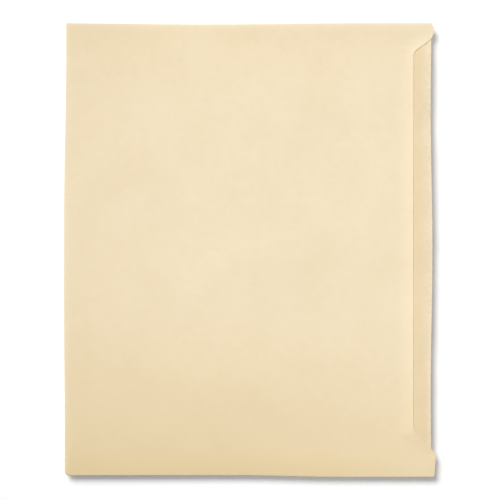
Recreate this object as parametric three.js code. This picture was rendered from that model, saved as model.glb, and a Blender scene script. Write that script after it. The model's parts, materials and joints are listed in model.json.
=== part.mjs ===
// A manila file jacket, letter size, closed on three sides by a gusset with one centre crease.
// It lies on its back with the tab to the right (+X) and the bottom fold to the left (-X).
// Millimetres, +Z up. The origin is the middle of the outline, on the surface that the jacket lies on.
// Left and right are those of a reader who holds the jacket with its tab up, so left is +Y.

import * as THREE from 'three';

// The sheet
const jacketWidth = 298.45;        // along the tab, 11 3/4 in
const jacketHeight = 241.3;        // bottom fold to tab edge, 9 1/2 in
const cardThickness = 0.28;        // 11 point manila
const glueThickness = 0.08;        // a dried glue film
const plyGap = 0.3;                // air between two plies that are folded together

// The gusset
const leafWidth = 12.7;            // half of a 1 in expansion
const restAngle = 6.5;             // how far the creases spring open by themselves, in degrees
const mitreGap = 0.4;              // between a bottom leaf and a side leaf, where they meet in the corner
const rootInset = 0.3;             // a leaf starts this far in from its crease
const leafMouthSetback = 3.5;      // a side leaf ends this far below the tab edge, at its outer crease
const leafMouthSlant = 14;         // and this much further down at its centre crease

// The flaps that hold the side gussets to the back
const flapWidth = 10.5;
const flapBottomClearance = 3;     // from the bottom fold to the flap
const flapMouthClearance = 8;      // from the tab edge to the flap
const flapEndSlant = 5;
const glueMargin = 2;              // from a flap's or a ply's edge to its glue

// The front panel's mouth: a straight edge below the tab, and an ear at each end that stands past the tab.
// An ear's distances are from its side fold: to the foot of its slant, to where the slant meets the tab's
// edge, and to its tip. Its rises are past the tab's edge.
const frontDrop = 11.9;            // tab edge down to the front panel's straight edge
const leftEar = { foot: 19.2, shoulder: 10.9, tip: 4.8, tipRise: 2.1, foldRise: 0.1, foldRadius: 0.8 };
const rightEar = { foot: 30.4, shoulder: 19, tip: 15, tipRise: 2.7, foldRise: 1.9, foldRadius: 2.4 };
const earTipRadius = 1.6;
const slantRadius = 3;             // at the foot and the shoulder of a slant
const foldCornerRadius = 1.2;      // the jacket's two corners at the bottom fold

// The front panel stands up a little, because the gusset springs open and the card isn't held in the middle
const frontBulge = 1.7;            // in the middle, above the creases
const bulgePower = 4;              // a higher power keeps the middle flatter and the sides steeper
const bulgeSettlesFrom = 0.35;     // from this share of the way to the mouth the bulge goes down again
const mouthBulgeShare = 0.05;      // what is left of it at the mouth
const mouthCurl = 1.1;             // how far the mouth's edge turns up
const mouthCurlLength = 10;
const mouthCurlPower = 1.8;        // a higher power bends it closer to the edge

// The tab
const tabCornerRadius = 5;
const plyWidth = 24;               // the strip that is folded over to double the tab
const plyEndInset = 11.4;          // from a side fold to the end of that strip
const plyEndSlant = 4;
const reliefLength = 1.5;          // the cut between the folded strip and the single ply beside it

// Steps
const rowsAlongFront = 20;
const stationSpacing = 16;
const cornerSteps = 4;
const noseSteps = 5;

// Worked out from the sizes above
const openAngle = THREE.MathUtils.degToRad(restAngle);
const halfWidth = jacketWidth / 2;
const foldX = -(jacketHeight + Math.max(leftEar.tipRise, rightEar.tipRise)) / 2;
const tabX = foldX + jacketHeight;
const frontMouthX = tabX - frontDrop;
const flapZ = cardThickness + glueThickness;
const backCreaseZ = flapZ + cardThickness + plyGap / 2;
const plyPitch = cardThickness + plyGap;
const foldRadius = cardThickness + plyGap / 2;
const creaseX = foldX + foldRadius;
const creaseY = halfWidth - foldRadius;
const gussetHeight = 2 * (leafWidth * Math.sin(openAngle) + plyPitch * Math.cos(openAngle));
const frontCreaseZ = backCreaseZ + gussetHeight;
const noseOuterRadius = cardThickness + glueThickness / 2;
const noseX = tabX - noseOuterRadius;
const plyEnd = halfWidth - plyEndInset;

// One material for the card and one for the glue
const manila = new THREE.MeshStandardMaterial({ color: 0xf2e0be, roughness: 0.82, metalness: 0 });
const driedGlue = new THREE.MeshStandardMaterial({ color: 0xe6d3a4, roughness: 0.45, metalness: 0 });

const jacket = new THREE.Group();
const frontGroup = new THREE.Group();
frontGroup.position.z = frontCreaseZ;
jacket.add(frontGroup);

function addPiece(parent, name, geometry, material) {
  const piece = new THREE.Mesh(geometry, material);
  piece.name = name;
  parent.add(piece);
}

// A corner of an outline, rounded by a curve that starts and ends at its radius from the corner
function roundedCorner(before, corner, after) {
  const [x, y, radius = 0] = corner;
  const middle = new THREE.Vector2(x, y);
  if (radius === 0) return [middle];
  const towards = ([otherX, otherY]) => {
    const way = new THREE.Vector2(otherX - x, otherY - y);
    const length = Math.min(radius, way.length() / 2);
    return middle.clone().addScaledVector(way.normalize(), length);
  };
  return new THREE.QuadraticBezierCurve(towards(before), middle, towards(after)).getPoints(cornerSteps);
}

// Corners are [x, y, radius]. A line's first and last corners only give the direction of its two ends.
function roundedLine(corners) {
  return corners.slice(1, -1).flatMap((corner, i) => roundedCorner(corners[i], corner, corners[i + 2]));
}

function roundedOutline(corners) {
  const count = corners.length;
  return corners.flatMap((corner, i) => roundedCorner(corners.at(i - 1), corner, corners[(i + 1) % count]));
}

function flatSheet(outline, bottomZ, thickness) {
  const geometry = new THREE.ExtrudeGeometry(new THREE.Shape(outline), { depth: thickness, bevelEnabled: false });
  geometry.translate(0, 0, bottomZ);
  return geometry;
}

// The same for a sheet with sharp corners, given in either direction
function flatPlate(corners, bottomZ, thickness) {
  return flatSheet(corners.map(([x, y]) => new THREE.Vector2(x, y)), bottomZ, thickness);
}

// A closed sheet from a grid of points: grid[i][j] is { low, high }, the two faces of the card at one place
function closedSheet(grid) {
  const rows = grid[0].length;
  const lastStation = grid.length - 1;
  const lastRow = rows - 1;
  const index = [];
  const low = (i, j) => 2 * (i * rows + j);
  const high = (i, j) => low(i, j) + 1;
  const quad = (a, b, c, d) => index.push(a, b, c, a, c, d);
  for (let i = 0; i < lastStation; i += 1) {
    for (let j = 0; j < lastRow; j += 1) {
      quad(high(i, j), high(i + 1, j), high(i + 1, j + 1), high(i, j + 1));
      quad(low(i, j), low(i, j + 1), low(i + 1, j + 1), low(i + 1, j));
    }
    quad(low(i, 0), low(i + 1, 0), high(i + 1, 0), high(i, 0));
    quad(low(i, lastRow), high(i, lastRow), high(i + 1, lastRow), low(i + 1, lastRow));
  }
  for (let j = 0; j < lastRow; j += 1) {
    quad(low(0, j), high(0, j), high(0, j + 1), low(0, j + 1));
    quad(low(lastStation, j), low(lastStation, j + 1), high(lastStation, j + 1), high(lastStation, j));
  }
  const positions = grid.flat().flatMap((place) => [...place.low, ...place.high]);
  const geometry = new THREE.BufferGeometry();
  geometry.setAttribute('position', new THREE.Float32BufferAttribute(positions, 3));
  geometry.setIndex(index);
  geometry.computeVertexNormals();
  return geometry;
}

// An edge line runs from the left fold (+Y) to the right fold (-Y), as points with y falling
function edgeAt(line, y) {
  const next = line.findIndex((point, i) => i > 0 && y >= point.y);
  if (next < 0) return line[line.length - 1].x;
  const share = (line[next - 1].y - y) / (line[next - 1].y - line[next].y);
  return THREE.MathUtils.lerp(line[next - 1].x, line[next].x, share);
}

// Places to cut a sheet across its width: each corner of its edge lines, and even steps between them
function stationsOf(...lines) {
  const closest = 0.1;
  const corners = lines.flat().map((point) => point.y).sort((a, b) => b - a);
  const stations = [corners[0]];
  for (const corner of corners) {
    const last = stations[stations.length - 1];
    const steps = Math.ceil((last - corner) / stationSpacing);
    if (last - corner > closest) {
      for (let i = 1; i <= steps; i += 1) stations.push(THREE.MathUtils.lerp(last, corner, i / steps));
    }
  }
  stations[stations.length - 1] = corners[corners.length - 1];
  return stations;
}

// The front panel's mouth: over the left ear, down its slant, along the straight edge, and the same on the right
function mouthLine() {
  const earCorners = (ear, side) => [
    [frontMouthX, side * halfWidth],
    [tabX + ear.foldRise, side * halfWidth, ear.foldRadius],
    [tabX + ear.tipRise, side * (halfWidth - ear.tip), earTipRadius],
    [tabX, side * (halfWidth - ear.shoulder), slantRadius],
    [frontMouthX, side * (halfWidth - ear.foot), slantRadius],
  ];
  return roundedLine([...earCorners(leftEar, 1), ...earCorners(rightEar, -1).reverse()]);
}

function bottomFoldLine() {
  return roundedLine([
    [0, halfWidth],
    [foldX, halfWidth, foldCornerRadius],
    [foldX, -halfWidth, foldCornerRadius],
    [0, -halfWidth],
  ]);
}

// How far the front panel stands above its creases: nothing along the three folds, most in the middle,
// and a turned-up edge along the mouth, which is at mouthX for this y
function frontHeight(x, y, mouthX) {
  const across = Math.min(Math.abs(y) / halfWidth, 1);
  const fromFold = THREE.MathUtils.clamp((x - foldX) / (frontMouthX - foldX), 0, 1);
  const rise = 1 - (1 - fromFold) ** bulgePower;
  const settle = 1 - (1 - mouthBulgeShare) * THREE.MathUtils.smoothstep(fromFold, bulgeSettlesFrom, 1);
  const curl = mouthCurl * Math.max(0, 1 - (mouthX - x) / mouthCurlLength) ** mouthCurlPower;
  return (1 - across ** bulgePower) * (frontBulge * rise * settle + curl);
}

// The front panel as a curved sheet. Its rows crowd towards the fold and the mouth, where it bends most.
function frontSheet() {
  const startLine = bottomFoldLine();
  const endLine = mouthLine();
  const undersideZ = plyGap / 2;
  return closedSheet(stationsOf(startLine, endLine).map((y) => {
    const start = edgeAt(startLine, y);
    const end = edgeAt(endLine, y);
    return Array.from({ length: rowsAlongFront + 1 }, (_, j) => {
      const share = (1 - Math.cos(Math.PI * j / rowsAlongFront)) / 2;
      const x = THREE.MathUtils.lerp(start, end, share);
      const z = undersideZ + frontHeight(x, y, end);
      return { low: [x, y, z], high: [x, y, z + cardThickness] };
    });
  }));
}

// The back panel: a round corner at each end of the tab, and set back where the strip folds over
function backSheet() {
  return flatSheet(roundedOutline([
    [foldX, halfWidth, foldCornerRadius],
    [foldX, -halfWidth, foldCornerRadius],
    [tabX, -halfWidth, tabCornerRadius],
    [tabX, -plyEnd - reliefLength],
    [noseX, -plyEnd],
    [noseX, plyEnd],
    [tabX, plyEnd + reliefLength],
    [tabX, halfWidth, tabCornerRadius],
  ]), 0, cardThickness);
}

// The strip that is folded over the tab: its end at one side, as a line of places around the fold
function plySection(side) {
  const nose = new THREE.Vector2(noseX, cardThickness + glueThickness / 2);
  const y = side * plyEnd;
  const innerEdge = [tabX - plyWidth, side * (plyEnd - plyEndSlant)];
  const places = [{ low: [...innerEdge, flapZ], high: [...innerEdge, flapZ + cardThickness] }];
  for (let j = 0; j <= noseSteps; j += 1) {
    const turn = Math.PI * (0.5 - j / noseSteps);
    const at = (radius) => [nose.x + radius * Math.cos(turn), y, nose.y + radius * Math.sin(turn)];
    places.push({ low: at(glueThickness / 2), high: at(noseOuterRadius) });
  }
  return places;
}

// Its glue, a margin inside its edges
function tabGlueFilm() {
  const inner = tabX - plyWidth + glueMargin;
  const outer = noseX - glueMargin;
  const innerEnd = plyEnd - plyEndSlant - glueMargin;
  const outerEnd = plyEnd - glueMargin;
  const corners = [[inner, -innerEnd], [outer, -outerEnd], [outer, outerEnd], [inner, innerEnd]];
  return flatPlate(corners, cardThickness, glueThickness);
}

// A crease is a group whose X runs along the fold and whose Y points in from it, turned open about X
function crease(parent, x, y, z, facing, opening) {
  const line = new THREE.Group();
  line.position.set(x, y, z);
  line.rotation.z = facing;
  const leaf = new THREE.Group();
  leaf.rotation.x = opening;
  line.add(leaf);
  parent.add(line);
  return leaf;
}

// A bottom leaf: mitred at both ends to pass the side leaves
function bottomLeaf() {
  const rootEnd = creaseY - mitreGap - rootInset;
  const centreEnd = creaseY - mitreGap - leafWidth;
  return [[-rootEnd, rootInset], [rootEnd, rootInset], [centreEnd, leafWidth], [-centreEnd, leafWidth]];
}

// A side leaf, from its corner at the bottom fold to its slanted end at the mouth.
// along is 1 where the crease's X points to the mouth and -1 where it points to the bottom fold.
function sideLeaf(along) {
  const mouthRoot = tabX - leafMouthSetback - creaseX;
  const mouthCentre = mouthRoot - leafMouthSlant;
  return [
    [along * (mitreGap + rootInset), rootInset],
    [along * mouthRoot, rootInset],
    [along * mouthCentre, leafWidth],
    [along * (mitreGap + leafWidth), leafWidth],
  ];
}

// The two leaves of one gusset: one turns on the back panel's crease and the other on the front panel's
function addGusset(name, x, y, facing, leaf) {
  const backLeaf = crease(jacket, x, y, backCreaseZ, facing, openAngle);
  addPiece(backLeaf, `${name}_gusset_back_leaf`, flatPlate(leaf, plyGap / 2, cardThickness), manila);
  const frontLeaf = crease(frontGroup, x, y, 0, facing, -openAngle);
  const bottomZ = -plyGap / 2 - cardThickness;
  addPiece(frontLeaf, `${name}_gusset_front_leaf`, flatPlate(leaf, bottomZ, cardThickness), manila);
}

// A side flap and its glue, both flat on the back panel. side is 1 on the left and -1 on the right.
function addFlap(name, side) {
  const outer = side * creaseY;
  const inner = side * (creaseY - flapWidth);
  const bottom = foldX + flapBottomClearance;
  const mouth = tabX - flapMouthClearance;
  const flap = [[bottom, outer], [mouth, outer], [mouth - flapEndSlant, inner], [bottom + flapEndSlant, inner]];
  const glueStart = bottom + flapEndSlant + glueMargin;
  const glueEnd = mouth - flapEndSlant - glueMargin;
  const glueOuter = outer - side * glueMargin;
  const glueInner = inner + side * glueMargin;
  const glue = [[glueStart, glueOuter], [glueEnd, glueOuter], [glueEnd, glueInner], [glueStart, glueInner]];
  addPiece(jacket, `${name}_flap_glue`, flatPlate(glue, cardThickness, glueThickness), driedGlue);
  addPiece(jacket, `${name}_glue_flap`, flatPlate(flap, flapZ, cardThickness), manila);
}

addPiece(jacket, 'back_panel', backSheet(), manila);
addPiece(jacket, 'tab_ply', closedSheet([plySection(1), plySection(-1)]), manila);
addPiece(jacket, 'tab_glue', tabGlueFilm(), driedGlue);
addFlap('left', 1);
addFlap('right', -1);
addPiece(frontGroup, 'front_panel', frontSheet(), manila);
addGusset('bottom', creaseX, 0, -Math.PI / 2, bottomLeaf());
addGusset('left', creaseX, creaseY, Math.PI, sideLeaf(-1));
addGusset('right', creaseX, -creaseY, 0, sideLeaf(1));

export default jacket;
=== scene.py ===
"""A manila file jacket, letter size, lying on its back with its tab to the right (+X).

Metres, +Z up. Left is +Y and right is -Y, as for a reader who holds the jacket with its tab up.
Every sheet of card is made as a grid of points through its middle, which is then given its thickness.
"""

import json
import math

import bpy
import numpy as np
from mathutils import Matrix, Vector


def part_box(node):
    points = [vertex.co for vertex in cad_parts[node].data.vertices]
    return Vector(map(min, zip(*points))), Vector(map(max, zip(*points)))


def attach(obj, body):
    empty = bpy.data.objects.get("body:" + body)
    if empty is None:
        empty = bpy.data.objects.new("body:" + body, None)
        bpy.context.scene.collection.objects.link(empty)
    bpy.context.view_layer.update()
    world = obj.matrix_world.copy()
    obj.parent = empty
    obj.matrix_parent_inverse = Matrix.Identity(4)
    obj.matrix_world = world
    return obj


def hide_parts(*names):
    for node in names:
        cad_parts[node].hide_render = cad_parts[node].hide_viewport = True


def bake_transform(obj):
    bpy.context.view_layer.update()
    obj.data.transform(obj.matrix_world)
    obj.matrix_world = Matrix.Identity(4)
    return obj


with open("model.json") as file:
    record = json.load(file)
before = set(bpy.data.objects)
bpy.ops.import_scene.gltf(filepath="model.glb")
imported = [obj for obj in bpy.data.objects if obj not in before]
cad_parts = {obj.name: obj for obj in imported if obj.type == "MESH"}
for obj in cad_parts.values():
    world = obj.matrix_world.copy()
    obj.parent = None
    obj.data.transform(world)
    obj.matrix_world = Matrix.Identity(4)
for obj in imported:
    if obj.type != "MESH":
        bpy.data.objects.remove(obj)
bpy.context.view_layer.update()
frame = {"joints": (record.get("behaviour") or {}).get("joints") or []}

MM = 0.001

# Sizes read from the frame
hinge = {joint["name"]: joint["pos_m"] for joint in frame["joints"]}
back_low, back_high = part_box("back_panel")
card = back_high.z - back_low.z
fold_x = back_low.x
tab_x = back_high.x
half_width = back_high.y
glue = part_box("tab_glue")[1].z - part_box("tab_glue")[0].z
crease_x = hinge["bottom_back_crease"][0]
crease_y = hinge["left_back_crease"][1]
back_crease_z = hinge["bottom_back_crease"][2]
front_crease_z = hinge["bottom_front_crease"][2]
fold_radius = crease_x - fold_x
middle_radius = fold_radius - card / 2
ply_pitch = 2 * fold_radius - card
centre_in = hinge["bottom_centre_crease"][0] - crease_x
centre_up = hinge["bottom_centre_crease"][2] - back_crease_z
leaf_width = math.sqrt(centre_in ** 2 + centre_up ** 2 - ply_pitch ** 2)
rest_angle = math.atan2(centre_up, centre_in) - math.atan2(ply_pitch, leaf_width)
flap_middle_z = card + glue + card / 2
glue_middle_z = card + glue / 2

# The front panel's mouth, as in the solid. An ear's foot, shoulder and tip are given by their distance in
# from its side fold, and its rises by how far it stands past the tab's edge.
front_mouth_x = tab_x - 11.9 * MM
left_ear = {
    "foot": 19.2 * MM,
    "shoulder": 10.9 * MM,
    "tip": 4.8 * MM,
    "tip_rise": 2.1 * MM,
    "fold_rise": 0.1 * MM,
    "fold_radius": 0.8 * MM,
}
right_ear = {
    "foot": 30.4 * MM,
    "shoulder": 19 * MM,
    "tip": 15 * MM,
    "tip_rise": 2.7 * MM,
    "fold_rise": 1.9 * MM,
    "fold_radius": 2.4 * MM,
}
ear_tip_radius = 1.6 * MM
slant_radius = 3 * MM

# The gusset, the flaps and the tab's second ply
mitre_gap = 0.4 * MM
leaf_mouth_setback = 3.5 * MM
leaf_mouth_slant = 14 * MM
leaf_round_turn = math.radians(92)
leaf_round_gap = 0.012 * MM
flap_width = 10.5 * MM
flap_start = fold_x + 3 * MM
flap_end = tab_x - 8 * MM
flap_end_slant = 5 * MM
glue_margin = 2 * MM
ply_width = 24 * MM
ply_end = half_width - 11.4 * MM
ply_end_slant = 4 * MM
ply_end_blend = 1.5 * MM
tab_corner_radius = 5 * MM
nose_radius = (card + glue) / 2
nose_x = tab_x - nose_radius - card / 2

# How the front stands: its bulge, its turned-up mouth, its slow waves and the roll at its creases.
# The waves' shares and their drop are in terms of front_wave, and a wave starts at an angle in radians.
front_bulge = 1.7 * MM
bulge_power = 4
bulge_settles_from = 0.35
mouth_bulge_share = 0.05
mouth_curl = 1.1 * MM
mouth_curl_reach = 10 * MM
mouth_curl_power = 1.8
mouth_curl_fade = 0.2
front_wave = 0.12 * MM
front_wave_drop = 1.5
front_waves = [
    {"length_x": 110 * MM, "length_y": 230 * MM, "share": 1.0, "start": 0.4},
    {"length_x": -310 * MM, "length_y": 87 * MM, "share": 0.8, "start": 1.9},
    {"length_x": 61 * MM, "length_y": 55 * MM, "share": 0.5, "start": 4.0},
]
wave_fade_at_sides = 0.12
wave_fade_at_fold = 0.1
crease_roll = 0.15 * MM
crease_roll_width = 1.3 * MM

# How the tab stands: lifted to the front's mouth, rippled and bowed along its edge
tab_lift = 7.0 * MM
tab_lift_reach = 75 * MM
tab_lift_levels_off = 0.9
tab_lift_softness = 0.3 * MM
tab_lift_fades_over = 7.5 * MM
tab_clearance = 0.05 * MM
tab_slope_past_mouth = 0.035
leaf_hold_at_tab = 0.15
long_ripple = 0.21 * MM
long_ripple_length = 52 * MM
long_ripple_start = 0.6
short_ripple = 0.14 * MM
short_ripple_length = 31 * MM
tab_edge_out = 0.1 * MM
tab_edge_bow = 0.55 * MM
tab_edge_bow_length = 191 * MM
tab_bow_starts = 3 * MM

# The outline as folded by hand: how far it lies from the drawn one
left_corner_drift = 1.5 * MM
left_corner_drift_across = (0.1, 0.9)
right_corner_drift = 0.5 * MM
right_corner_drift_across = (0.2, 0.8)
left_side_drift = -1.0 * MM
left_side_drift_x = -28 * MM
left_side_drift_reach = 65 * MM
right_side_drift = 0.15 * MM
right_side_drift_at_fold = 1.1 * MM
right_side_straightens = (-10 * MM, 60 * MM)
left_corner_radius = 1.2 * MM
right_corner_radius = 2.6 * MM

# Wear: the reach of a rubbed line, and the strip along the tab's edge that is paler, from handling and as a
# painted highlight where the lifted edge catches the light
rub_reach = 1.4 * MM
handled_wear_and_highlight = 0.8
handled_and_highlit_full_share = 0.1
handled_and_highlit_width_right = 3 * MM
handled_and_highlit_width_left = 9 * MM
handled_and_highlit_width_changes = (-85 * MM, -62 * MM)

# Painted shade, where the card is coloured darker and warmer, and how far: its right side, the bottom fold
# and the rims of both sides
side_shade_y = (-10 * MM, -160 * MM)
side_shade_slant = 0.26
side_shade_slants_from = -20 * MM
side_shade_wanders = 30 * MM
side_shade_wander_size = 60 * MM
side_shade = 0.66
fold_shade_x = (-40 * MM, -130 * MM)
fold_shade = 0.17
left_rim_shade_y = (100 * MM, 150 * MM)
left_rim_shade = 0.235
right_rim_shade_y = (-130 * MM, -146 * MM)
right_rim_shade = 0.36
rim_shade_fades_x = (50 * MM, 110 * MM)
rim_shade_at_ears = 0.1

# The card seen close. Specks are measured in their spacing, and the other pairs are bounds within a noise.
wide_cloud_size = 30 * MM
close_cloud_size = 6 * MM
cloud_contrast = (0.36, 0.64)
card_fibre_size = 1.1 * MM
fibre_thickness = 0.012
fibre_stretch_size = 1.6 * MM
fibre_stretches = (0.52, 0.6)
fibre_colour_share = 0.16
speck_spacing = 4.5 * MM
speck_rim = (0.02, 0.045)
speckless = (0.7, 0.72)
speck_colour_share = 0.3
card_tooth_height = 0.04 * MM
fine_tooth_size = 0.5 * MM
low_tooth_size = 3.5 * MM
low_tooth_share = 1.4
fibre_tooth_share = 0.35
rub_patch_size = 2.2 * MM
rub_patches = (0.35, 0.65)
least_rub = 0.35
rub_and_highlight_share = 0.42
roughness_clouds = (0.3, 0.7)
roughness_swing = 0.05

# The dried glue seen close. A bubble's radius is a share of their spacing.
glue_flow_size = 4 * MM
glue_flow_contrast = (0.35, 0.65)
glue_roughness_flow = (0.3, 0.7)
glue_roughness = (0.32, 0.5)
bubble_spacing = 1.4 * MM
bubble_radius = 0.3
bubble_height = 0.03 * MM

# The floor, the light and the camera. A lamp's share is how bright it alone makes white paper on the floor.
floor_half = 6.0
floor_gap = 0.02 * MM
floor_grain_size = 4 * MM
floor_glow = 0.09
sky_share = 0.15
key_share = 0.72
key_azimuth = 33
key_elevation = 43
key_width = 35
fill_share = 0.22
fill_place = (90 * MM, 60 * MM, 2.0)
fill_cone = 26
fill_radius = 0.15
camera_x = 0.2 * MM
camera_height = 1.6
view_width = 329.2 * MM

# Mesh steps. The front's columns are closer towards the mouth, by a share.
sheet_step = 2.5 * MM
ear_step = 0.6 * MM
tab_step = 1.6 * MM
corner_zone = 14 * MM
left_ear_zone = 1.5 * left_ear["foot"]
right_ear_zone = 1.3 * right_ear["foot"]
front_columns = 96
closer_columns = 0.35
back_columns = 98
strip_columns = 90
strip_rows = 7
tab_columns = 130
leaf_columns = 100
leaf_rows = 9
fold_columns = 120
arc_steps = 10
ear_round_points = 9
sharp_angle = math.radians(35)


def smoothstep(low, high, value):
    share = np.clip((value - low) / (high - low), 0, 1)
    return share * share * (3 - 2 * share)


def lerp(a, b, share):
    return a + (b - a) * share


def soft_minimum(a, b, softness):
    return (a + b - np.sqrt((a - b) ** 2 + softness ** 2)) / 2


def swell(turns, start=0.0):
    """A wave of height 1, by the number of its lengths and where it starts, in radians."""
    return np.sin(2 * math.pi * turns + start)


def steps_between(low, high, step):
    return np.linspace(low, high, max(2, int(round(abs(high - low) / step)) + 1))


def rows_between(starts, ends, columns):
    """A grid whose rows run evenly from a first column to a last one."""
    return lerp(starts, ends, np.linspace(0, 1, columns)[None, :])


def grid_points(x, y, z):
    return np.stack(np.broadcast_arrays(x, y, z), axis=-1)


# The mouth of the front panel

def ear_corners(ear, side):
    """An ear's corners, from its side fold to the mouth, each as (x, y, radius)."""
    return [
        (front_mouth_x, side * half_width, 0),
        (tab_x + ear["fold_rise"], side * half_width, ear["fold_radius"]),
        (tab_x + ear["tip_rise"], side * (half_width - ear["tip"]), ear_tip_radius),
        (tab_x, side * (half_width - ear["shoulder"]), slant_radius),
        (front_mouth_x, side * (half_width - ear["foot"]), slant_radius),
    ]


def rounded_line(corners):
    """Points round each corner of a line, apart from its two ends, which only give a direction."""
    line = []
    for before, (x, y, radius), after in zip(corners, corners[1:-1], corners[2:]):
        corner = np.array([x, y])
        ways = [np.array(other[:2]) - corner for other in (before, after)]
        lengths = [np.linalg.norm(way) for way in ways]
        start, end = [corner + way / size * min(radius, size / 2) for way, size in zip(ways, lengths)]
        for share in np.linspace(0, 1, ear_round_points):
            line.append(lerp(lerp(start, corner, share), lerp(corner, end, share), share))
    return np.array(line)


mouth_points = rounded_line(ear_corners(right_ear, -1) + ear_corners(left_ear, 1)[::-1])
mouth_points = mouth_points[np.argsort(mouth_points[:, 1], kind="stable")]


def mouth_x(y):
    return np.interp(y, mouth_points[:, 1], mouth_points[:, 0])


def mouth_distance(x, y):
    """How far a place is from the front's mouth, square to it. It is below 0 past the mouth."""
    reach = 0.5 * MM
    slant = (mouth_x(y + reach) - mouth_x(y - reach)) / (2 * reach)
    return (mouth_x(y) - x) / np.sqrt(1 + slant ** 2)


# How the jacket lies

def drift(x, y):
    """How far each place of the hand-folded jacket lies from its drawn one, in plan."""
    across = y / half_width
    left_corner = left_corner_drift * smoothstep(*left_corner_drift_across, across)
    right_corner = right_corner_drift * smoothstep(*right_corner_drift_across, -across)
    left_side = left_side_drift * np.exp(-(((x - left_side_drift_x) / left_side_drift_reach) ** 2))
    near_fold = 1 - smoothstep(*right_side_straightens, x)
    right_side = right_side_drift + right_side_drift_at_fold * near_fold
    to_fold = np.clip((tab_x - x) / (tab_x - fold_x), 0, 1)
    to_left = np.clip((y + half_width) / (2 * half_width), 0, 1)
    return to_fold * (left_corner + right_corner), lerp(right_side, left_side, to_left)


def rounded_in_plan(x, y):
    """Pulls the two corners at the bottom fold in to a round, for every sheet alike."""
    radius = np.where(y > 0, left_corner_radius, right_corner_radius)
    a = np.clip(1 - (x - fold_x) / radius, 0, 1)
    b = np.clip(1 - (half_width - np.abs(y)) / radius, 0, 1)
    in_corner = (a > 0) & (b > 0)
    round_x = fold_x + radius * (1 - a * np.sqrt(1 - b * b / 2))
    round_y = np.sign(y) * (half_width - radius * (1 - b * np.sqrt(1 - a * a / 2)))
    return np.where(in_corner, round_x, x), np.where(in_corner, round_y, y)


def laid(points):
    """Points of the drawn jacket, moved to where the card lies."""
    x, y = rounded_in_plan(points[..., 0], points[..., 1])
    drift_x, drift_y = drift(x, y)
    return grid_points(x + drift_x, y + drift_y, points[..., 2])


def front_wave_height(x, y):
    """The front's slow waves together. They are set low, so that few stand above the bulge."""
    height = -front_wave_drop
    for wave in front_waves:
        turns = x / wave["length_x"] + y / wave["length_y"]
        height = height + wave["share"] * swell(turns, wave["start"])
    return front_wave * height


def front_height(x, y, distance):
    """How far the front stands above its creases, where the mouth is at a distance."""
    across = np.clip(np.abs(y) / half_width, 0, 1)
    from_fold = np.clip((x - fold_x) / (front_mouth_x - fold_x), 0, 1)
    side_fall = 1 - across ** bulge_power
    rise = 1 - (1 - from_fold) ** bulge_power
    settle = 1 - (1 - mouth_bulge_share) * smoothstep(bulge_settles_from, 1, from_fold)
    bulge = front_bulge * side_fall * rise * settle
    curl = mouth_curl * np.clip(1 - distance / mouth_curl_reach, 0, 1) ** mouth_curl_power
    curl *= smoothstep(0, mouth_curl_fade, 1 - across)
    wave = front_wave_height(x, y)
    wave *= smoothstep(0, wave_fade_at_sides, 1 - across) * smoothstep(0, wave_fade_at_fold, from_fold)
    from_crease = np.clip(np.minimum(crease_y - np.abs(y), x - crease_x), 0, None)
    roll = crease_roll * (1 - np.exp(-from_crease / crease_roll_width))
    return bulge + curl + wave + roll


def tab_rise(along):
    """The back's curve up to its tab. It is steepest before the mouth and nearly level past it."""
    return along ** 2 * (1 + tab_lift_levels_off - tab_lift_levels_off * along)


def free_of_leaves(x, y):
    """1 where the tab can lift, and 0 where the side gussets' leaves hold it down.

    The leaves' inner edges slant to the side at the mouth, so the tab is free closer to its ends there.
    """
    leaf_share = np.clip((tab_x - leaf_mouth_setback - x) / leaf_mouth_slant, leaf_hold_at_tab, 1)
    leaf_inner = crease_y - leaf_width * leaf_share
    return 1 - smoothstep(leaf_inner - tab_lift_fades_over, leaf_inner, np.abs(y))


def lifted(points):
    """Points of what is on the back panel, whose doubled tab has curled up to the front's mouth."""
    x, y = points[..., 0], points[..., 1]
    under_front = np.maximum(mouth_distance(x, y), 0)
    past_front = np.maximum(-mouth_distance(x, y), 0)
    front_underside = front_crease_z + fold_radius - card + front_height(x, y, under_front)
    tab_top = flap_middle_z + card / 2
    room = front_underside - tab_clearance - tab_top + tab_slope_past_mouth * past_front
    along = np.clip((x - tab_x + tab_lift_reach) / tab_lift_reach, 0, 1)
    lift = soft_minimum(tab_lift * tab_rise(along), room, tab_lift_softness)
    ripple = long_ripple * swell(y / long_ripple_length, long_ripple_start)
    ripple += short_ripple * swell(y / short_ripple_length)
    ripple *= smoothstep(0, tab_x - front_mouth_x, past_front)
    bow = tab_edge_out + tab_edge_bow * np.cos(2 * math.pi * y / tab_edge_bow_length)
    bow *= smoothstep(front_mouth_x - tab_bow_starts, tab_x, x)
    free = free_of_leaves(x, y)
    raised = points.copy()
    raised[..., 2] += (lift + ripple) * free
    raised[..., 0] += bow * free
    return laid(raised)


def rubbed_line(distance):
    """Wear along a crease or an edge, over a millimetre or two."""
    return np.exp(-np.abs(distance) / rub_reach)


# Sheets

def quads(*corners):
    return np.stack([corner.reshape(-1) for corner in corners], axis=-1).tolist()


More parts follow.
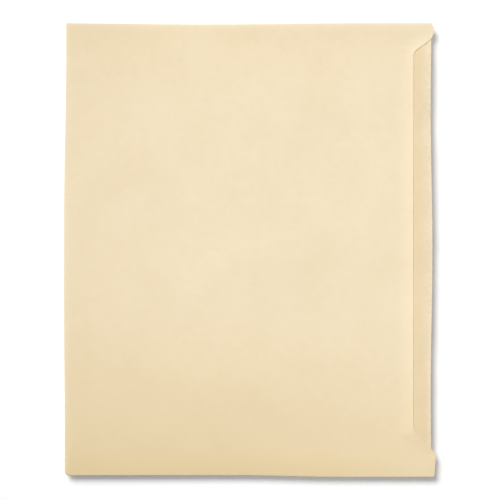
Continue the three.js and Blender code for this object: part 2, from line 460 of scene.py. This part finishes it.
def closed_sheet(name, middle, thickness=card, wear=0.0):
    """A closed sheet about a grid of middle points. Its rim has the second material."""
    rows, columns = middle.shape[:2]
    normal = np.cross(np.gradient(middle, axis=0), np.gradient(middle, axis=1))
    normal /= np.linalg.norm(normal, axis=-1, keepdims=True)
    upper = middle + normal * thickness / 2
    lower = middle - normal * thickness / 2
    top = np.arange(rows * columns).reshape(rows, columns)
    under = top + rows * columns
    faces = quads(top[:-1, :-1], top[1:, :-1], top[1:, 1:], top[:-1, 1:])
    faces += quads(under[:-1, :-1], under[:-1, 1:], under[1:, 1:], under[1:, :-1])
    flat_count = len(faces)
    faces += quads(top[:-1, 0], under[:-1, 0], under[1:, 0], top[1:, 0])
    faces += quads(top[:-1, -1], top[1:, -1], under[1:, -1], under[:-1, -1])
    faces += quads(top[0, :-1], top[0, 1:], under[0, 1:], under[0, :-1])
    faces += quads(top[-1, :-1], under[-1, :-1], under[-1, 1:], top[-1, 1:])
    mesh = bpy.data.meshes.new(name)
    mesh.from_pydata(np.concatenate([upper.reshape(-1, 3), lower.reshape(-1, 3)]), [], faces)
    on_rim = np.arange(len(faces)) >= flat_count
    mesh.polygons.foreach_set("material_index", on_rim.astype(np.int32))
    mesh.shade_smooth()
    mesh.set_sharp_from_angle(angle=sharp_angle)
    # Wear at creases and edges, and on the tab's edge a painted highlight as well, kept as one attribute
    worn = np.broadcast_to(wear, (rows, columns)).reshape(-1)
    attribute = mesh.attributes.new("crease_wear", "FLOAT", "POINT")
    attribute.data.foreach_set("value", np.tile(worn, 2).astype(np.float32))
    piece = bpy.data.objects.new(name, mesh)
    bpy.context.scene.collection.objects.link(piece)
    return piece


# The front panel

def front_panel():
    """The front, with close rows at both ears and closer columns towards the mouth."""
    left_zone = half_width - left_ear_zone
    right_zone = right_ear_zone - half_width
    y = np.unique(np.concatenate([
        steps_between(-crease_y, right_zone, ear_step),
        steps_between(right_zone, left_zone, sheet_step),
        steps_between(left_zone, crease_y, ear_step),
    ]))[::-1, None]
    even = np.linspace(0, 1, front_columns)[None, :]
    x = lerp(crease_x, mouth_x(y), lerp(even, np.sin(even * math.pi / 2), closer_columns))
    z = front_crease_z + middle_radius + front_height(x, y, mouth_distance(x, y))
    wear = np.maximum(rubbed_line(x - crease_x), rubbed_line(crease_y - np.abs(y)))
    return closed_sheet("front_panel_card", laid(grid_points(x, y, z))[::-1], wear=wear[::-1])


# The back panel, its doubled tab and the glue flaps

def back_panel():
    """The back, with rounded corners at the tab, whose edge ends in the fold of the second ply."""
    y = np.unique(np.concatenate([
        steps_between(-half_width, -half_width + corner_zone, ear_step),
        steps_between(-half_width + corner_zone, half_width - corner_zone, sheet_step),
        steps_between(half_width - corner_zone, half_width, ear_step),
    ]))[:, None]
    past_corner = np.clip(np.abs(y) - (half_width - tab_corner_radius), 0, tab_corner_radius)
    corner_x = tab_x - tab_corner_radius + np.sqrt(tab_corner_radius ** 2 - past_corner ** 2)
    past_ply = smoothstep(ply_end, ply_end + ply_end_blend, np.abs(y))
    end = np.minimum(corner_x, lerp(nose_x, tab_x, past_ply))
    x = rows_between(crease_x, end, back_columns)
    middle = lifted(grid_points(x, y, card / 2))
    return closed_sheet("back_panel_card", middle[::-1], wear=rubbed_line(x - crease_x)[::-1])


def tab_ply():
    """The strip that doubles the tab: flat over the glue, and turned round the nose at the tab's edge."""
    flat_x = steps_between(tab_x - ply_width, nose_x, tab_step)
    turn = np.linspace(0, math.pi, 2 * arc_steps + 1)[1:]
    x = np.concatenate([flat_x, nose_x + nose_radius * np.sin(turn)])[:, None]
    flat_z = np.full(flat_x.shape, flap_middle_z)
    z = np.concatenate([flat_z, glue_middle_z + nose_radius * np.cos(turn)])[:, None]
    end = ply_end - ply_end_slant * np.clip((nose_x - x) / (nose_x - tab_x + ply_width), 0, 1)
    y = rows_between(-end, end, tab_columns)
    from_edge = np.maximum(nose_x - x, 0)
    # Paler along the tab's edge: handling wear, and a painted highlight where the lifted edge catches the
    # light
    handled_and_highlit_width = lerp(handled_and_highlit_width_right, handled_and_highlit_width_left, smoothstep(*handled_and_highlit_width_changes, y))
    handled_and_highlit = handled_wear_and_highlight * (1 - smoothstep(handled_and_highlit_full_share, 1, from_edge / handled_and_highlit_width))
    wear = handled_and_highlit + rubbed_line(from_edge)
    return closed_sheet("tab_ply_card", lifted(grid_points(x, y, z)), wear=wear)


def tab_glue():
    x = steps_between(tab_x - ply_width + glue_margin, nose_x - glue_margin, tab_step)[:, None]
    end = ply_end - ply_end_slant - glue_margin
    y = rows_between(-end, end, tab_columns)
    return closed_sheet("tab_glue_film", lifted(grid_points(x, y, glue_middle_z)), glue)


def side_strip(gusset, start, end, outer_margin, inner_margin, end_slant):
    """X and Y of a strip along a side of the back panel. A slant at each end shortens its inner edge.

    start and end are its X. The margins are how far in from the side's crease its two edges lie.
    """
    across = np.linspace(0, 1, strip_rows)[:, None]
    x = rows_between(start + end_slant * across, end - end_slant * across, strip_columns)
    y = gusset["side"] * (crease_y - lerp(outer_margin, inner_margin, across))
    return x, y


def glue_flap(gusset):
    x, y = side_strip(gusset, flap_start, flap_end, 0, flap_width, flap_end_slant)
    middle = lifted(grid_points(x, y, flap_middle_z))
    return closed_sheet(f"{gusset['name']}_flap_card", middle, wear=rubbed_line(crease_y - np.abs(y)))


def flap_glue(gusset):
    """The glue under a flap. It keeps a margin to the flap's edges, and has straight ends."""
    start = flap_start + flap_end_slant + glue_margin
    end = flap_end - flap_end_slant - glue_margin
    x, y = side_strip(gusset, start, end, glue_margin, flap_width - glue_margin, 0)
    middle = lifted(grid_points(x, y, glue_middle_z))
    return closed_sheet(f"{gusset['name']}_flap_glue_film", middle, glue)


# The gusset. A crease is given by a point on it, the way along it and the way in from it.

bottom = {"name": "bottom", "at": (crease_x, 0), "along": (0, 1), "inward": (1, 0)}
left = {"name": "left", "side": 1, "at": (0, crease_y), "along": (1, 0), "inward": (0, -1)}
right = {"name": "right", "side": -1, "at": (0, -crease_y), "along": (1, 0), "inward": (0, 1)}


def beside(gusset, panel, along, inward, up):
    """Places beside a crease, as laid. up is measured away from the panel that the crease is on."""
    crease_z, sign = (back_crease_z, 1) if panel == "back" else (front_crease_z, -1)
    plan = [gusset["at"][k] + gusset["along"][k] * along + gusset["inward"][k] * inward for k in (0, 1)]
    return laid(grid_points(*plan, crease_z + sign * up))


def leaf_ends(gusset, width):
    """Where a leaf starts and ends along its crease, at a distance in from it."""
    if gusset is bottom:
        end = crease_y - mitre_gap - width
        return -end, end
    start = crease_x + mitre_gap + width
    return start, tab_x - leaf_mouth_setback - leaf_mouth_slant * width / leaf_width


def leaf(gusset, panel):
    """A leaf and half of its centre crease's round. The front leaf's half is a hair inside the other."""
    radius = middle_radius if panel == "back" else middle_radius - leaf_round_gap
    flat = np.linspace(0, leaf_width, leaf_rows)[:, None]
    turn = np.linspace(0, leaf_round_turn, arc_steps)[1:, None]
    width = np.concatenate([flat, leaf_width + radius * np.sin(turn)])
    height = np.concatenate([np.full(flat.shape, middle_radius), ply_pitch - radius * np.cos(turn)])
    inward = width * math.cos(rest_angle) - height * math.sin(rest_angle)
    up = width * math.sin(rest_angle) + height * math.cos(rest_angle)
    start, end = leaf_ends(gusset, np.minimum(width, leaf_width))
    points = beside(gusset, panel, rows_between(start, end, leaf_columns), inward, up)
    wear = np.maximum(rubbed_line(width), rubbed_line(np.clip(leaf_width - width, 0, None)))
    return closed_sheet(f"{gusset['name']}_{panel}_leaf_card", points, wear=wear)


def fold_ends(gusset, panel):
    """Where a fold starts and ends: on the panel or flap, at its nose, and on the leaf."""
    leaf_start, leaf_end = leaf_ends(gusset, 0)
    if gusset is bottom:
        panel_end = half_width if panel == "back" else crease_y
        return (-panel_end, -crease_y, leaf_start), (panel_end, crease_y, leaf_end)
    if panel == "back":
        return (flap_start, flap_start, leaf_start), (flap_end, lerp(flap_end, leaf_end, 0.5), leaf_end)
    ear_end = mouth_x(gusset["side"] * crease_y)
    nose_end = mouth_x(gusset["side"] * half_width)
    return (crease_x, crease_x, leaf_start), (ear_end, nose_end, leaf_end)


def fold(gusset, panel):
    """The bend between a panel and its leaf, where the card goes round the crease and comes back."""
    turn = np.linspace(-math.pi / 2, math.pi / 2 - rest_angle, 2 * arc_steps + 1)[:, None]
    inward = -middle_radius * np.cos(turn)
    up = middle_radius * np.sin(turn)
    if gusset is bottom and panel == "back":
        up = np.where(turn < 0, (back_crease_z - card / 2) * np.sin(turn), up)
    share = np.linspace(0, 1, len(turn))[:, None]
    starts, ends = fold_ends(gusset, panel)
    start = np.interp(share, (0, 0.5, 1), starts)
    end = np.interp(share, (0, 0.5, 1), ends)
    points = beside(gusset, panel, rows_between(start, end, fold_columns), inward, up)
    return closed_sheet(f"{gusset['name']}_{panel}_fold", points, wear=1.0)


def blend_over_crease(piece):
    """Bakes the fold's placement into its mesh. The fold is not put on a body."""
    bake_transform(piece)


# Shader nodes

def feed(tree, socket, value):
    """Links another node's socket to an input, or gives the input a value."""
    if isinstance(value, bpy.types.NodeSocket):
        tree.links.new(value, socket)
    else:
        socket.default_value = value


def add(tree, kind, inputs=None, **settings):
    """The outputs of a new node, with some of its inputs, by name or number, and some settings given."""
    node = tree.nodes.new(kind)
    for setting, value in settings.items():
        setattr(node, setting, value)
    for label, value in (inputs or {}).items():
        feed(tree, node.inputs[label], value)
    return node.outputs


def maths(tree, operation, first, second, clamp=False):
    return add(tree, "ShaderNodeMath", {0: first, 1: second}, operation=operation, use_clamp=clamp)[0]


def times(tree, first, second):
    return maths(tree, "MULTIPLY", first, second)


def plus(tree, first, second):
    return maths(tree, "ADD", first, second)


def minus(tree, first, second):
    return maths(tree, "SUBTRACT", first, second)


def ranged(tree, value, low, high, to_low=0.0, to_high=1.0, kind="LINEAR"):
    """A value's place between two bounds, which may fall, turned into a place between two others."""
    inputs = {0: value, 1: low, 2: high, 3: to_low, 4: to_high}
    return add(tree, "ShaderNodeMapRange", inputs, interpolation_type=kind)["Result"]


def noise(tree, vector, size, detail=2.0, roughness=0.5):
    """Noise from 0 to 1 whose blotches are about that size, in metres."""
    inputs = {"Vector": vector, "Scale": 1 / size, "Detail": detail, "Roughness": roughness}
    return add(tree, "ShaderNodeTexNoise", inputs)["Fac"]


def mixed(tree, share, first, second):
    """A colour between two others."""
    return add(tree, "ShaderNodeMix", {0: share, 6: first, 7: second}, data_type="RGBA")[2]


def new_group(name, inputs, outputs):
    """A shader group with its sockets, and the inner ends of what comes in and what goes out."""
    group = bpy.data.node_groups.new(name, "ShaderNodeTree")
    for label, kind, value in inputs:
        socket = group.interface.new_socket(label, in_out="INPUT", socket_type=kind)
        if value is not None:
            socket.default_value = value
    for label, kind in outputs:
        group.interface.new_socket(label, in_out="OUTPUT", socket_type=kind)
    return group, group.nodes.new("NodeGroupInput").outputs, group.nodes.new("NodeGroupOutput").inputs


# The card's look

def card_stock_group():
    """What all of the card shows: clouded formation, short fibres, dark specks and a fine tooth."""
    group, inside, result = new_group(
        "card_stock",
        [("Vector", "NodeSocketVector", None), ("Fibre Size", "NodeSocketFloat", card_fibre_size)],
        [(name, "NodeSocketFloat") for name in ("Clouds", "Fibres", "Specks", "Height")],
    )
    vector = inside["Vector"]
    wide_clouds = noise(group, vector, wide_cloud_size)
    close_clouds = noise(group, vector, close_cloud_size, detail=4.0, roughness=0.6)
    clouds = plus(group, times(group, wide_clouds, 0.5), times(group, close_clouds, 0.5))

    per_metre = maths(group, "DIVIDE", 1.0, inside["Fibre Size"])
    curl_inputs = {"Vector": vector, "Scale": per_metre, "Detail": 1.0, "Distortion": 1.2}
    curls = add(group, "ShaderNodeTexNoise", curl_inputs)["Fac"]
    off_ridge = maths(group, "ABSOLUTE", minus(group, curls, 0.5), 0.0)
    thread = ranged(group, off_ridge, 0.0, fibre_thickness, 1.0, 0.0)
    stretches = ranged(group, noise(group, vector, fibre_stretch_size, detail=1.0), *fibre_stretches)
    fibres = times(group, thread, stretches)

    cells = add(group, "ShaderNodeTexVoronoi", {"Vector": vector, "Scale": 1 / speck_spacing})
    chance = add(group, "ShaderNodeSeparateColor", {"Color": cells["Color"]})[0]
    dots = ranged(group, cells["Distance"], *speck_rim, 1.0, 0.0)
    specks = times(group, dots, ranged(group, chance, *speckless))

    fine_tooth = noise(group, vector, fine_tooth_size, detail=5.0, roughness=0.62)
    low_tooth = times(group, noise(group, vector, low_tooth_size), low_tooth_share)
    tooth = plus(group, fine_tooth, low_tooth)
    height = plus(group, tooth, times(group, fibres, fibre_tooth_share))

    feed(group, result["Clouds"], clouds)
    feed(group, result["Fibres"], fibres)
    feed(group, result["Specks"], specks)
    feed(group, result["Height"], height)
    return group


def card_painted_shade_group():
    """Painted shade: the card is coloured darker and warmer along its right side, and less at the bottom
    fold and the rims.
    """
    group, inside, result = new_group(
        "card_toning", [("Vector", "NodeSocketVector", None)], [("Toning", "NodeSocketFloat")]
    )
    place = add(group, "ShaderNodeSeparateXYZ", {"Vector": inside["Vector"]})
    wander = minus(group, noise(group, inside["Vector"], side_shade_wander_size), 0.5)
    to_tab = maths(group, "MAXIMUM", place["X"], side_shade_slants_from)
    slanted = plus(group, place["Y"], times(group, to_tab, side_shade_slant))
    across = plus(group, slanted, times(group, wander, side_shade_wanders))
    side = ranged(group, across, *side_shade_y, 0.0, side_shade, "SMOOTHSTEP")
    fold_share = ranged(group, place["X"], *fold_shade_x, 0.0, fold_shade)
    at_fold = times(group, fold_share, minus(group, 1.0, side))
    left_rim = ranged(group, place["Y"], *left_rim_shade_y, 0.0, left_rim_shade)
    right_rim = ranged(group, place["Y"], *right_rim_shade_y, 0.0, right_rim_shade)
    before_ears = ranged(group, place["X"], *rim_shade_fades_x, 1.0, rim_shade_at_ears)
    rims = times(group, plus(group, left_rim, right_rim), before_ears)
    painted_shade = maths(group, "ADD", plus(group, side, at_fold), rims, clamp=True)
    feed(group, result["Toning"], painted_shade)
    return group


def card_tone_group():
    """The card's colour: its two shades, darker and warmer in painted shade, with fibres and specks, and
    paler where it is rubbed and in a painted highlight along the tab's edge.
    """
    group, inside, result = new_group(
        "card_tone",
        [
            ("Base", "NodeSocketColor", (0.88, 0.75, 0.52, 1)),
            ("Deep", "NodeSocketColor", (0.84, 0.70, 0.46, 1)),
            ("Clouds", "NodeSocketFloat", 0.5),
            ("Fibres", "NodeSocketFloat", 0.0),
            ("Specks", "NodeSocketFloat", 0.0),
            ("Rub", "NodeSocketFloat", 0.0),
            ("Toning", "NodeSocketFloat", 0.0),
        ],
        [("Color", "NodeSocketColor")],
    )
    # The colour that the card is turned to in painted shade
    painted_shading = (0.750, 0.590, 0.336, 1)
    fibre_brown = (0.62, 0.44, 0.24, 1)
    speck_brown = (0.34, 0.2, 0.1, 1)
    # Paler where the card is rubbed, and for the painted highlight along the tab's edge
    rubbed_and_highlit_pale = (0.86, 0.785, 0.63, 1)
    clouded = ranged(group, inside["Clouds"], *cloud_contrast)
    tone = mixed(group, clouded, inside["Base"], inside["Deep"])
    tone = mixed(group, inside["Toning"], tone, painted_shading)
    tone = mixed(group, times(group, inside["Fibres"], fibre_colour_share), tone, fibre_brown)
    tone = mixed(group, times(group, inside["Specks"], speck_colour_share), tone, speck_brown)
    tone = mixed(group, times(group, inside["Rub"], rub_and_highlight_share), tone, rubbed_and_highlit_pale)
    feed(group, result["Color"], tone)
    return group


card_stock = card_stock_group()
card_toning = card_painted_shade_group()
card_tone = card_tone_group()


def card_material(name, base, deep, roughness, specular, tooth_height, fibre_size, painted_shading):
    """Card of the shared stock, with colours, tooth, fibres and a share of painted shade of its own."""
    material = bpy.data.materials.new(name)
    material.use_nodes = True
    tree = material.node_tree
    shader = tree.nodes["Principled BSDF"].inputs
    place = add(tree, "ShaderNodeTexCoord")["Object"]
    stock_inputs = {"Vector": place, "Fibre Size": fibre_size}
    stock = add(tree, "ShaderNodeGroup", stock_inputs, node_tree=card_stock)
    # Painted shade, darker and warmer towards the right side, the bottom fold and the rims
    painted_shade = add(tree, "ShaderNodeGroup", {"Vector": place}, node_tree=card_toning)["Toning"]
    # Wear, and on the tab's edge a painted highlight
    wear = add(tree, "ShaderNodeAttribute", attribute_name="crease_wear")["Fac"]
    patches = ranged(tree, noise(tree, place, rub_patch_size, detail=3.0), *rub_patches, least_rub, 1.0)
    tone_inputs = {
        "Base": base,
        "Deep": deep,
        "Clouds": stock["Clouds"],
        "Fibres": stock["Fibres"],
        "Specks": stock["Specks"],
        "Rub": times(tree, wear, patches),
        "Toning": times(tree, painted_shade, painted_shading),
    }
    tone = add(tree, "ShaderNodeGroup", tone_inputs, node_tree=card_tone)["Color"]
    smoothest = roughness - roughness_swing
    roughest = roughness + roughness_swing
    feed(tree, shader["Base Color"], tone)
    feed(tree, shader["Roughness"], ranged(tree, stock["Clouds"], *roughness_clouds, smoothest, roughest))
    shader["Specular IOR Level"].default_value = specular
    bump_inputs = {"Height": stock["Height"], "Strength": 0.5, "Distance": tooth_height}
    feed(tree, shader["Normal"], add(tree, "ShaderNodeBump", bump_inputs)["Normal"])
    return material


def glue_material():
    """A dried glue film: amber, smoother than card, with small trapped bubbles."""
    material = bpy.data.materials.new("dried_glue_film")
    material.use_nodes = True
    tree = material.node_tree
    shader = tree.nodes["Principled BSDF"].inputs
    place = add(tree, "ShaderNodeTexCoord")["Object"]
    bubbles = add(tree, "ShaderNodeTexVoronoi", {"Vector": place, "Scale": 1 / bubble_spacing})["Distance"]
    flow = noise(tree, place, glue_flow_size, detail=3.0)
    amber = (0.78, 0.62, 0.34, 1)
    pale_amber = (0.84, 0.71, 0.45, 1)
    streaks = ranged(tree, flow, *glue_flow_contrast)
    feed(tree, shader["Base Color"], mixed(tree, streaks, amber, pale_amber))
    feed(tree, shader["Roughness"], ranged(tree, flow, *glue_roughness_flow, *glue_roughness))
    height = plus(tree, ranged(tree, bubbles, 0.0, bubble_radius), flow)
    bump_inputs = {"Height": height, "Strength": 0.4, "Distance": bubble_height}
    feed(tree, shader["Normal"], add(tree, "ShaderNodeBump", bump_inputs)["Normal"])
    return material


manila = card_material(
    "manila_card",
    base=(0.842, 0.717, 0.511, 1),
    deep=(0.813, 0.683, 0.469, 1),
    roughness=0.84,
    specular=0.3,
    tooth_height=card_tooth_height,
    fibre_size=card_fibre_size,
    painted_shading=1.0,
)
# A darker, warmer copy of the manila card for the back, the tab's ply, the flaps and the leaves: painted
# shade, for the tab strip in the front's shade and the sheets inside the jacket
manila_inner_shaded = card_material(
    "manila_card_inner",
    base=(0.776, 0.628, 0.411, 1),
    deep=(0.750, 0.599, 0.375, 1),
    roughness=0.86,
    specular=0.3,
    tooth_height=card_tooth_height,
    fibre_size=card_fibre_size,
    painted_shading=0.4,
)
cut_edge = card_material(
    "manila_cut_edge",
    base=(0.850, 0.760, 0.580, 1),
    deep=(0.800, 0.695, 0.505, 1),
    roughness=0.92,
    specular=0.2,
    tooth_height=0.06 * MM,
    fibre_size=0.4 * MM,
    painted_shading=1.0,
)
dried_glue = glue_material()


# The pieces

def give_materials(piece, flat, rim):
    piece.data.materials.append(flat)
    piece.data.materials.append(rim)


def place_card(piece, flat, node, body):
    """Puts a piece of card in its solid's place, on the solid's body."""
    give_materials(piece, flat, cut_edge)
    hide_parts(node)
    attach(piece, body)


def place_glue(piece, node):
    give_materials(piece, dried_glue, dried_glue)
    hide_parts(node)
    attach(piece, "back")


place_card(front_panel(), manila, "front_panel", "front")
place_card(back_panel(), manila_inner_shaded, "back_panel", "back")
place_card(tab_ply(), manila_inner_shaded, "tab_ply", "back")
place_glue(tab_glue(), "tab_glue")

for gusset in (left, right):
    place_card(glue_flap(gusset), manila_inner_shaded, f"{gusset['name']}_glue_flap", "back")
    place_glue(flap_glue(gusset), f"{gusset['name']}_flap_glue")

for gusset in (bottom, left, right):
    for panel in ("back", "front"):
        node = f"{gusset['name']}_gusset_{panel}_leaf"
        place_card(leaf(gusset, panel), manila_inner_shaded, node, f"{gusset['name']}_{panel}_leaf")
        bend = fold(gusset, panel)
        give_materials(bend, manila, cut_edge)
        blend_over_crease(bend)


# The floor, the light and the camera

def put_in_scene(name, data, place):
    thing = bpy.data.objects.new(name, data)
    thing.location = place
    bpy.context.scene.collection.objects.link(thing)
    return thing


def seen_directly(tree):
    """1 where the camera sees a surface, mirrored or through glass too, and 0 where it lights others."""
    paths = add(tree, "ShaderNodeLightPath")
    seen = maths(tree, "MAXIMUM", paths["Is Camera Ray"], paths["Is Glossy Ray"])
    return maths(tree, "MAXIMUM", seen, paths["Is Transmission Ray"])


def floor_material():
    """White paper that keeps the jacket's shadow. The camera sees it a little brighter than it is lit."""
    material = bpy.data.materials.new("floor_paper")
    material.use_nodes = True
    tree = material.node_tree
    tree.nodes.remove(tree.nodes["Principled BSDF"])
    grain = noise(tree, add(tree, "ShaderNodeTexCoord")["Object"], floor_grain_size, detail=3.0)
    paper_grey = (0.94, 0.94, 0.94, 1)
    paper_white = (0.96, 0.96, 0.96, 1)
    white = mixed(tree, grain, paper_grey, paper_white)
    diffuse = add(tree, "ShaderNodeBsdfDiffuse", {"Color": white})[0]
    glow_inputs = {"Color": (1, 1, 1, 1), "Strength": times(tree, seen_directly(tree), floor_glow)}
    glow = add(tree, "ShaderNodeEmission", glow_inputs)[0]
    both = add(tree, "ShaderNodeAddShader", {0: diffuse, 1: glow})[0]
    feed(tree, tree.nodes["Material Output"].inputs["Surface"], both)
    return material


def add_floor():
    mesh = bpy.data.meshes.new("floor")
    half = floor_half
    corners = [(-half, -half, 0), (half, -half, 0), (half, half, 0), (-half, half, 0)]
    mesh.from_pydata(corners, [], [(0, 1, 2, 3)])
    mesh.materials.append(floor_material())
    floor = put_in_scene("floor", mesh, (0, 0, -floor_gap))


def add_world():
    """A pale studio that the camera sees as white, and that lights the jacket only a little."""
    world = bpy.data.worlds.new("studio")
    world.use_nodes = True
    tree = world.node_tree
    background = tree.nodes["Background"].inputs
    background["Color"].default_value = (1, 1, 1, 1)
    feed(tree, background["Strength"], ranged(tree, seen_directly(tree), 0.0, 1.0, sky_share, 1.0))
    bpy.context.scene.world = world


def add_key():
    """A large soft lamp, far off at the upper left."""
    turn = math.radians(key_azimuth)
    level = math.cos(math.radians(key_elevation))
    up = math.sin(math.radians(key_elevation))
    direction = Vector((-math.sin(turn) * level, math.cos(turn) * level, up))
    light = bpy.data.lights.new("key", "SUN")
    light.energy = key_share * math.pi / direction.z
    light.angle = math.radians(key_width)
    key = put_in_scene("key", light, direction)
    key.rotation_mode = "QUATERNION"
    key.rotation_quaternion = direction.to_track_quat("Z", "Y")


def add_fill():
    """A lamp overhead, whose cone's soft rim lets the light fall off towards the lower left."""
    light = bpy.data.lights.new("fill", "SPOT")
    light.energy = fill_share * 4 * (math.pi * fill_place[2]) ** 2
    light.shadow_soft_size = fill_radius
    light.spot_size = math.radians(fill_cone)
    light.spot_blend = 1
    put_in_scene("fill", light, fill_place)


def add_camera():
    camera = bpy.data.cameras.new("camera")
    camera.sensor_width = 36
    camera.lens = camera.sensor_width * camera_height / view_width
    camera.clip_start = 0.1
    camera.clip_end = 20
    bpy.context.scene.camera = put_in_scene("camera", camera, (camera_x, 0, camera_height))


add_floor()
add_world()
add_key()
add_fill()
add_camera()
bpy.context.scene.view_settings.view_transform = "Standard"
